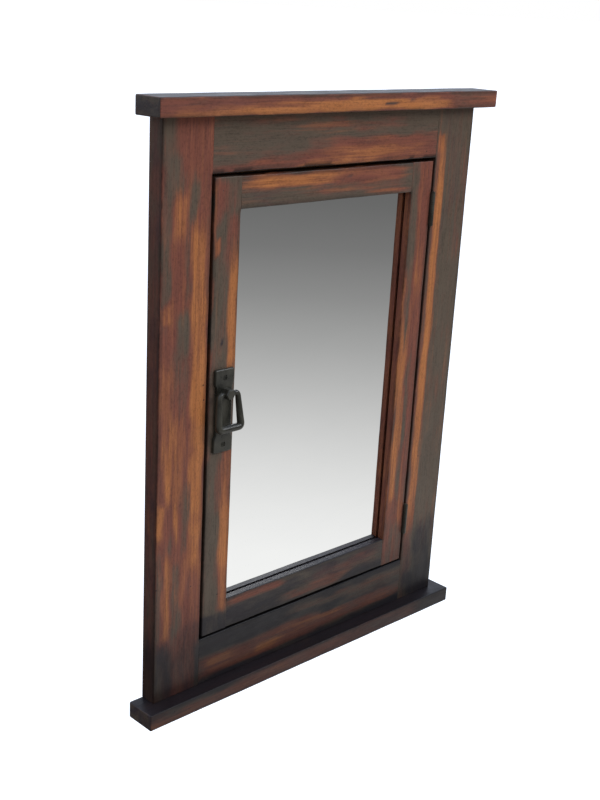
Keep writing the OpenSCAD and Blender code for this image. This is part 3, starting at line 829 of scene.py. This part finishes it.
def write_attributes(piece, board, along, edges, seed):
    """Grain direction, rubbed-through tones with painted shade, and worn edges, for the stained wood
    material.
    """
    shift = 1.37 * seed
    grain = []
    wear_and_shade = []
    worn = []
    for vertex in piece.data.vertices:
        p = vertex.co
        first, second = (p.x, p.z) if along == "x" else (p.z, p.x)
        grain += [first + shift, second + shift, p.y]
        wear_and_shade += tone_and_shade_at(board, p, along)
        nearest = min(edge_distance(p, first, e) for e in edges)
        worn.append(max(0.0, 1.0 - nearest / EDGE_REACH))
    write_attribute(piece.data, "grain", "FLOAT_VECTOR", "vector", grain)
    write_attribute(piece.data, "wear_and_shade", "FLOAT_COLOR", "color", wear_and_shade)
    write_attribute(piece.data, "edge", "FLOAT", "value", worn)


def write_attribute(mesh, name, kind, field, values):
    attribute = mesh.attributes.new(name, kind, "POINT")
    attribute.data.foreach_set(field, values)


def edge_distance(point, place, edge):
    """Distance to an edge: two fixed coordinates, such as {'x': 0.1, 'y': -0.02}, and its half length."""
    fixed, half = edge
    beyond = max(0.0, abs(place) - half)
    return math.hypot(beyond, *(getattr(point, axis) - value for axis, value in fixed.items()))


def add_board(node, body, along, radius_at, wave, end_r, edges, seed, cutters=()):
    """One stained board in place of a CAD node."""
    low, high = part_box(node)
    piece = new_object(node + "_board", board_mesh(low, high, along, radius_at, wave, end_r, seed),
                       "stained_wood")
    for cutter in cutters:
        cut_away(piece, cutter)
    write_attributes(piece, node, along, edges, seed)
    smooth(piece)
    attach(piece, body)
    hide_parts(node)


def spans(inner, joint, corners, limit_low, limit_high, others):
    """Edge radii: the given corners are worn between two limits and tight joints beyond them."""
    def radius(corner, place):
        if corner in corners:
            return inner if limit_low < place < limit_high else joint
        return others[corner]
    return radius


def hinge_notch(side):
    centre = Vector((HINGE_CENTRE.x, HINGE_CENTRE.y, side * abs(HINGE_CENTRE.z)))
    return rod_mesh(centre, NOTCH_R, NOTCH_HALF)


def mirror_rebate():
    return block_mesh((GLASS_LEFT - REBATE, MIRROR_FRONT, GLASS_LOW - REBATE),
                      (GLASS_RIGHT + REBATE, 0.01, GLASS_HIGH + REBATE))


def add_stiles(kind, body, seeds, limits, back_r, wave, end_r, rebated):
    """The left and right stiles of the face frame or the door, worn between two limits."""
    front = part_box(kind + "_stile_left")[0].y
    for seed, side in zip(seeds, ("left", "right")):
        node = kind + "_stile_" + side
        low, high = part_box(node)
        inner = [1, 2] if side == "left" else [0, 3]
        radius = spans(WORN_R, JOINT_R, inner, *limits, [WORN_R, WORN_R, back_r, back_r])
        outer_x, inner_x = (low.x, high.x) if side == "left" else (high.x, low.x)
        edges = [({"x": outer_x, "y": front}, high.z), ({"x": inner_x, "y": front}, limits[1])]
        cutters = [mirror_rebate()] if rebated else []
        if side == "right":
            cutters += [hinge_notch(1), hinge_notch(-1)]
        add_board(node, body, "z", radius, wave, end_r, edges, seed, cutters)


def add_face_frame():
    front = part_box("face_stile_left")[0].y
    add_stiles("face", "cabinet", (1, 2), (-OPENING_Z, OPENING_Z), STILE_BACK_R, STILE_WAVE,
               STILE_END_R, False)
    for seed, level in ((3, "top"), (4, "bottom")):
        node = "face_rail_" + level
        low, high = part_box(node)
        inner, radii, wave = low.z, [WORN_R, TIGHT_R, TIGHT_R, RAIL_BACK_R], TOP_RAIL_WAVE
        if level == "bottom":
            inner, radii, wave = high.z, [TIGHT_R, WORN_R, RAIL_BACK_R, TIGHT_R], BOTTOM_RAIL_WAVE
        add_board(node, "cabinet", "x", lambda corner, place, r=radii: r[corner], wave, JOINT_R,
                  [({"z": inner, "y": front}, OPENING_X)], seed)
    for seed, node in ((5, "crown_board"), (6, "ledge_board")):
        low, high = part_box(node)
        edges = [({"z": low.z, "y": low.y}, high.x), ({"z": high.z, "y": low.y}, high.x)]
        add_board(node, "cabinet", "x", lambda corner, place: TRIM_R, TRIM_WAVE, TRIM_R, edges, seed)


def add_door_boards():
    add_stiles("door", "door", (7, 8), (GLASS_LOW, GLASS_HIGH), MM, DOOR_STILE_WAVE, MM, True)
    for seed, level in ((9, "top"), (10, "bottom")):
        node = "door_rail_" + level
        low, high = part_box(node)
        wave = DOOR_TOP_WAVE if level == "top" else DOOR_BOTTOM_WAVE
        edges = [({"z": place, "y": DOOR_FRONT}, high.x) for place in (low.z, high.z)]
        add_board(node, "door", "x", lambda corner, place: DOOR_RAIL_R, wave, JOINT_R, edges, seed,
                  [mirror_rebate()])


# ---- pull ----

PLATE_HALF_W = 12.75 * MM
PLATE_HALF_H = 45.5 * MM
PLATE_PAD = 15.5 * MM
PLATE_TAPER = 4 * MM
PLATE_WAIST = 10.5 * MM
PLATE_CORNER = 1.2 * MM
PLATE_BEVEL = (0.8 * MM, 1.2 * MM)    # across and through
SCREW_HOLE_R = 3.05 * MM
SCREW_HOLE_HALF = 8 * MM
BAIL_TILT = math.radians(6)           # how far out from plumb it hangs
BAIL_DROP = 37 * MM
BAIL_TOP_X = 12.5 * MM
BAIL_LOW_X = 15.5 * MM
BAIL_RADII = (2.0 * MM, 2.9 * MM, 4.1 * MM)
BAIL_SIDES = 20
BAIL_FILLET = 4.2 * MM
BAIL_STEP = 1.2 * MM                  # between rings along the bar
BAIL_SHOULDER = 3 * MM                # from the top corners to where the bar thins
BAIL_BEHIND_TIP = 5 * MM              # from the post's tip to the pivot
POST_R = 6 * MM
POST_L = 10.8 * MM
POST_ROUND = 0.25 * MM
# How much the post is narrower, and how far from its tip
POST_NOSE = ((0, 1.2 * MM), (0.5 * MM, 0.35 * MM), (1.2 * MM, 0))
POST_UP = 20.5 * MM                   # above the plate's middle
PULL_SCREW_UP = 36.5 * MM
SQUARE_HALF = 2.2 * MM                # the square groove in a screw's head
SQUARE_GROOVE = 0.8 * MM


def plate_outline():
    """Half of the plate's outline, from the bottom of its right side to the top."""
    straight = PLATE_HALF_H - PLATE_PAD
    waist = straight - PLATE_TAPER
    return [
        (PLATE_HALF_W - PLATE_CORNER, -PLATE_HALF_H), (PLATE_HALF_W, -PLATE_HALF_H + PLATE_CORNER),
        (PLATE_HALF_W, -straight), (PLATE_WAIST, -waist), (PLATE_WAIST, waist), (PLATE_HALF_W, straight),
        (PLATE_HALF_W, PLATE_HALF_H - PLATE_CORNER), (PLATE_HALF_W - PLATE_CORNER, PLATE_HALF_H),
    ]


def shrunk(points, distance):
    """The outline moved inwards."""
    moved = []
    count = len(points)
    for k in range(count):
        here = Vector(points[k])
        before = (here - Vector(points[k - 1])).normalized()
        after = (Vector(points[(k + 1) % count]) - here).normalized()
        normal_before = Vector((-before.y, before.x))
        normal_after = Vector((-after.y, after.x))
        corner = (normal_before + normal_after).normalized()
        moved.append(here + corner * distance / max(0.3, corner.dot(normal_before)))
    return moved


def pull_centre():
    low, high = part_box("pull_backplate")
    return Vector(((low.x + high.x) / 2, high.y, (low.z + high.z) / 2))


def add_plate():
    """Back plate with bevelled edges."""
    centre = pull_centre()
    low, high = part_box("pull_backplate")
    plate_front = low.y + POST_L
    right = plate_outline()
    outline = right + [(-x, z) for x, z in reversed(right)]
    across, through = PLATE_BEVEL
    levels = [(0.0, high.y), (0.0, plate_front + through), (0.25 * across, plate_front + 0.55 * through),
              (across, plate_front + 0.15 * MM), (across + 0.5 * MM, plate_front)]
    build = bmesh.new()
    rings = []
    for inset, y in levels:
        points = shrunk(outline, inset)
        rings.append([build.verts.new((centre.x + p.x, y, centre.z + p.y)) for p in points])
    join_rings(build, rings)
    plate = new_object("pull_plate", mesh_from(build), "black_iron")
    for side in (-1, 1):
        spot = centre + Vector((0, 0, side * PULL_SCREW_UP))
        hole = rod_mesh(Vector((0, 0, 0)), SCREW_HOLE_R, SCREW_HOLE_HALF)
        hole.transform(Matrix.Translation(spot) @ Matrix.Rotation(math.pi / 2, 4, "X"))
        cut_away(plate, hole)
    smooth(plate, 25)
    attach(plate, "door")
    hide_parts("pull_backplate")


def add_post():
    """The six-sided post that holds the bail."""
    centre = pull_centre()
    post_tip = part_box("pull_backplate")[0].y
    pivot_z = centre.z + POST_UP
    levels = [(POST_R, post_tip + POST_L + 0.1 * MM)]
    levels += [(POST_R - less, post_tip + back) for less, back in POST_NOSE]
    build = bmesh.new()
    rings = []
    for radius, y in levels:
        ring = []
        for k in range(6):
            angle = k * math.pi / 3
            ring.append(build.verts.new((centre.x + radius * math.cos(angle), y,
                                         pivot_z + radius * math.sin(angle))))
        rings.append(ring)
    join_rings(build, rings)
    bmesh.ops.bevel(build, geom=list(build.edges), offset=POST_ROUND, segments=2, profile=0.5, affect="EDGES")
    post = new_object("pull_post", mesh_from(build), "black_iron")
    smooth(post, 25)
    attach(post, "door")


def rounded_path(corners, fillet, steps=6):
    """A line through the corners, with each inner corner rounded."""
    path = [corners[0]]
    for before, here, after in zip(corners, corners[1:], corners[2:]):
        start = here + (before - here).normalized() * fillet
        end = here + (after - here).normalized() * fillet
        for k in range(steps + 1):
            t = k / steps
            path.append(start * (1 - t) ** 2 + here * 2 * t * (1 - t) + end * t ** 2)
    path.append(corners[-1])
    return path


def filled_in(path, spacing):
    """The same line with points close together."""
    points = [path[0]]
    for before, here in zip(path, path[1:]):
        count = max(1, round((here - before).length / spacing))
        for k in range(1, count + 1):
            points.append(before.lerp(here, k / count))
    return points


def bail_radius(point):
    """The bar is thinnest at the pivot and thickest at the grip."""
    end, top, grip = BAIL_RADII
    shoulder = BAIL_TOP_X - BAIL_SHOULDER
    if point.z > -0.2 * MM and abs(point.x) < shoulder:
        share = max(0.0, (abs(point.x) - POST_R) / (shoulder - POST_R))
        return end + (top - end) * min(1.0, share)
    return top + (grip - top) * min(1.0, -point.z / BAIL_DROP)


def add_bail():
    """The hanging handle, one bar bent round and held by its ends in the post."""
    centre = pull_centre()
    post_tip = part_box("pull_backplate")[0].y
    pivot = Vector((centre.x, post_tip + BAIL_BEHIND_TIP, centre.z + POST_UP))
    corners = [Vector((x, 0, z)) for x, z in (
        (MM, 0), (BAIL_TOP_X, 0), (BAIL_LOW_X, -BAIL_DROP), (-BAIL_LOW_X, -BAIL_DROP), (-BAIL_TOP_X, 0),
        (-MM, 0))]
    path = filled_in(rounded_path(corners, BAIL_FILLET), BAIL_STEP)
    build = bmesh.new()
    rings = []
    for k, point in enumerate(path):
        ahead = path[min(k + 1, len(path) - 1)]
        behind = path[max(k - 1, 0)]
        forward = (ahead - behind).normalized()
        side = Vector((0, 1, 0))
        up = forward.cross(side)
        radius = bail_radius(point)
        ring = []
        for step in range(BAIL_SIDES):
            angle = step * 2 * math.pi / BAIL_SIDES
            ring.append(build.verts.new(point + (side * math.cos(angle) + up * math.sin(angle)) * radius))
        rings.append(ring)
    join_rings(build, rings)
    mesh = mesh_from(build)
    mesh.transform(Matrix.Translation(pivot) @ Matrix.Rotation(-BAIL_TILT, 4, "X"))
    piece = new_object("pull_bail", mesh, "black_iron")
    smooth(piece)
    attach(piece, "bail")
    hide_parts("bail")


def add_pull_screws():
    """The plate's screws, each with a square cut into its head."""
    piece = softened_copy("pull_screw_pair", "pull_screws", "door", "black_iron", 0.2 * MM)
    centre = pull_centre()
    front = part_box("pull_screws")[0].y
    outer = SQUARE_HALF
    inner = SQUARE_HALF - SQUARE_GROOVE
    sides = [(-outer, -inner, -outer, outer), (inner, outer, -outer, outer),
             (-outer, outer, -outer, -inner), (-outer, outer, inner, outer)]
    for side in (-1, 1):
        spot = centre.z + side * PULL_SCREW_UP
        for left, right, low, high in sides:
            cut_away(piece, block_mesh((centre.x + left, front - MM, spot + low),
                                       (centre.x + right, front + SQUARE_GROOVE, spot + high)))
    smooth(piece, 32)


# ---- mirror ----

SILVER_DEPTH = 1.9 * MM               # how deep the silvering looks through the glass


def add_mirror():
    """The silvered face, as deep as it looks through the glass in front of it."""
    low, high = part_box("mirror_glass")
    build = bmesh.new()
    build.from_mesh(block_mesh((low.x, low.y + SILVER_DEPTH, low.z), high))
    bmesh.ops.bevel(build, geom=list(build.edges), offset=0.3 * MM, segments=2, profile=0.5, affect="EDGES")
    bmesh.ops.subdivide_edges(build, edges=list(build.edges), cuts=1, use_grid_fill=True)
    piece = new_object("mirror", mesh_from(build), "mirror")
    smooth(piece, 25)
    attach(piece, "door")
    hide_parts("mirror_glass")


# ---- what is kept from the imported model, or only softened ----

SOFTENED = [
    # nodes, body, material, slot, width of the rounded edges in mm
    ("mirror_backing", "door", "backing", "backing_board", 0.4),
    ("mirror_stop_left mirror_stop_right", "door", "pine_z", "plain_wood", 0.6),
    ("mirror_stop_top mirror_stop_bottom", "door", "pine_x", "plain_wood", 0.6),
    ("shelf_upper shelf_lower", "cabinet", "box_x", "box_wood", 1.2),
    ("box_side_left box_side_right", "cabinet", "box_z", "box_wood", 0.5),
    ("box_top box_bottom", "cabinet", "box_x", "box_wood", 0.5),
    ("back_panel", "cabinet", "box_z", "box_wood", 0.4),
    ("shelf_pins", "cabinet", "steel", "steel", 0.25),
    ("catch_housing", "cabinet", "plastic", "brown_plastic", 0.5),
    ("catch_magnet", "cabinet", "magnet", "magnet", 0.2),
    ("catch_pole_plates catch_screws", "cabinet", "steel", "steel", 0.15),
    ("hinge_upper_frame_leaf hinge_lower_frame_leaf", "cabinet", "black_iron", "black_iron", 0.25),
    ("hinge_upper_pin hinge_lower_pin", "cabinet", "black_iron", "black_iron", 0.3),
    ("hinge_upper_door_leaf hinge_lower_door_leaf", "door", "black_iron", "black_iron", 0.25),
    ("strike_plate", "door", "steel", "steel", 0.25),
    ("door_bumpers", "door", "felt", "felt", 0.3),
]
KEPT = {
    "pine_x": "frame_dowels box_dowels door_dowels",
    "pine_z": "trim_dowels",
    "steel": "box_screws back_nails mirror_stop_brads strike_screw",
    "black_iron": "hinge_frame_screws hinge_door_screws",
}


def add_softened():
    for nodes, body, material, slot, width in SOFTENED:
        for node in nodes.split():
            softened_copy(node + "_piece", node, body, material, width * MM)


def dress_kept():
    for material, nodes in KEPT.items():
        for node in nodes.split():
            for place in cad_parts[node].material_slots:
                place.material = MATERIALS[material]


# ---- stage ----

FLOOR_DROP = 1.0                      # below the middle of the cabinet, which hangs on a wall
FLOOR_HALF = 300.0
FLOOR_GREY = (0.9, 0.9, 0.9, 1)
# Brightness of the surroundings by height of the direction, from straight down, -1, to straight up, 1.
# In front, a pale floor fades into a dark wall, and the mirror shows the fade.
FADE_FROM, FADE_BRIGHT = -0.465, 0.95
FADE_TO, FADE_DARK = -0.11, 0.135
FADE_STEPS = 9
FADE_POWER = 1.3                      # above 1, the dark end is the longer one
FLOOR_SKY = [(-1.0, 0.4), (-0.6, 0.7)]
WALL_SKY = [(-0.05, 0.09), (0.1, 0.3), (0.4, 0.8), (1.0, 0.95)]
BACK_SKY = [(-1.0, 0.3), (-0.35, 0.14), (-0.1, 0.2), (-0.02, 1.06), (0.2, 1.06), (1.0, 1.0)]
LEFT_SHADE = [(-1.0, 0.25), (-0.05, 0.2), (0.0, 1.0), (1.0, 1.0)]
SKY_BLUE = (0.78, 0.9, 1.12)          # tint straight up
SKY_WHITE = (1.0, 1.0, 0.995)         # tint at the horizon and below
KEY_PLACE = (1.1, -1.7, 1.3)
KEY_AIM = (0, 0, 0.1)
KEY_SIZE = 0.8
KEY_POWER = 16


def front_sky():
    """Brightness in front, with the fade as an even curve between its two ends."""
    fade = []
    for step in range(FADE_STEPS + 1):
        share = step / FADE_STEPS
        level = smoothstep(1 - share) ** FADE_POWER
        fade.append((FADE_FROM + (FADE_TO - FADE_FROM) * share,
                     FADE_DARK + (FADE_BRIGHT - FADE_DARK) * level))
    return FLOOR_SKY + fade + WALL_SKY


def set_surroundings():
    world = bpy.data.worlds.new("studio")
    bpy.context.scene.world = world
    world.use_nodes = True
    nodes = Nodes(world.node_tree)
    parts = nodes.add("ShaderNodeSeparateXYZ")
    nodes.put(parts.inputs[0], nodes.add("ShaderNodeTexCoord").outputs["Generated"])
    x, y, z = parts.outputs
    height = nodes.math("MULTIPLY_ADD", z, 0.5, 0.5)
    sky = nodes.mix(nodes.step(y, -0.15, 0.45), nodes.greys(height, front_sky()),
                    nodes.greys(height, BACK_SKY))
    left = nodes.mix(nodes.step(x, -0.5, 0.2), nodes.greys(height, LEFT_SHADE), (1, 1, 1))
    tint = nodes.mix(nodes.step(z, 0.02, 0.5), SKY_WHITE, SKY_BLUE)
    lit = nodes.mix(1.0, nodes.mix(1.0, sky, left, "MULTIPLY"), tint, "MULTIPLY")
    seen = nodes.add("ShaderNodeLightPath").outputs["Is Camera Ray"]
    shown = nodes.mix(seen, lit, (1, 1, 1))
    nodes.put(nodes.tree.nodes["Background"].inputs["Color"], shown)


def add_floor():
    build = bmesh.new()
    bmesh.ops.create_grid(build, x_segments=1, y_segments=1, size=FLOOR_HALF,
                          matrix=Matrix.Translation((0, 0, -FLOOR_DROP)))
    mesh = bpy.data.meshes.new("floor")
    build.to_mesh(mesh)
    build.free()
    floor = bpy.data.objects.new("floor", mesh)
    bpy.context.scene.collection.objects.link(floor)
    paint = Graph("floor_paint")
    paint.finish(FLOOR_GREY, 0.9, Emission_Color=(1, 1, 1, 1), Emission_Strength=0.55)
    mesh.materials.append(paint.material)
    floor.visible_glossy = False
    floor.visible_diffuse = False


def add_key_light():
    data = bpy.data.lights.new("key", "AREA")
    data.shape = "SQUARE"
    data.size = KEY_SIZE
    data.energy = KEY_POWER
    light = bpy.data.objects.new("key", data)
    light.location = KEY_PLACE
    light.rotation_euler = (Vector(KEY_AIM) - Vector(KEY_PLACE)).to_track_quat("-Z", "Y").to_euler()
    bpy.context.scene.collection.objects.link(light)


def add_camera():
    forward = Vector((math.sin(CAMERA_YAW) * math.cos(CAMERA_PITCH),
                      math.cos(CAMERA_YAW) * math.cos(CAMERA_PITCH), math.sin(CAMERA_PITCH)))
    level = forward.cross(Vector((0, 0, 1))).normalized()
    top = level.cross(forward)
    right = level * math.cos(CAMERA_ROLL) + top * math.sin(CAMERA_ROLL)
    up = top * math.cos(CAMERA_ROLL) - level * math.sin(CAMERA_ROLL)
    data = bpy.data.cameras.new("camera")
    data.lens = CAMERA_LENS
    data.shift_x, data.shift_y = CAMERA_SHIFT
    data.clip_end = 1000
    camera = bpy.data.objects.new("camera", data)
    turn = Matrix((right, up, -forward)).transposed().to_4x4()
    camera.matrix_world = Matrix.Translation(CAMERA_PLACE) @ turn
    bpy.context.scene.collection.objects.link(camera)
    bpy.context.scene.camera = camera


add_camera()
add_face_frame()
add_door_boards()
add_plate()
add_post()
add_bail()
add_pull_screws()
add_mirror()
add_softened()
dress_kept()
set_surroundings()
add_floor()
add_key_light()
bpy.context.scene.view_settings.view_transform = "Standard"
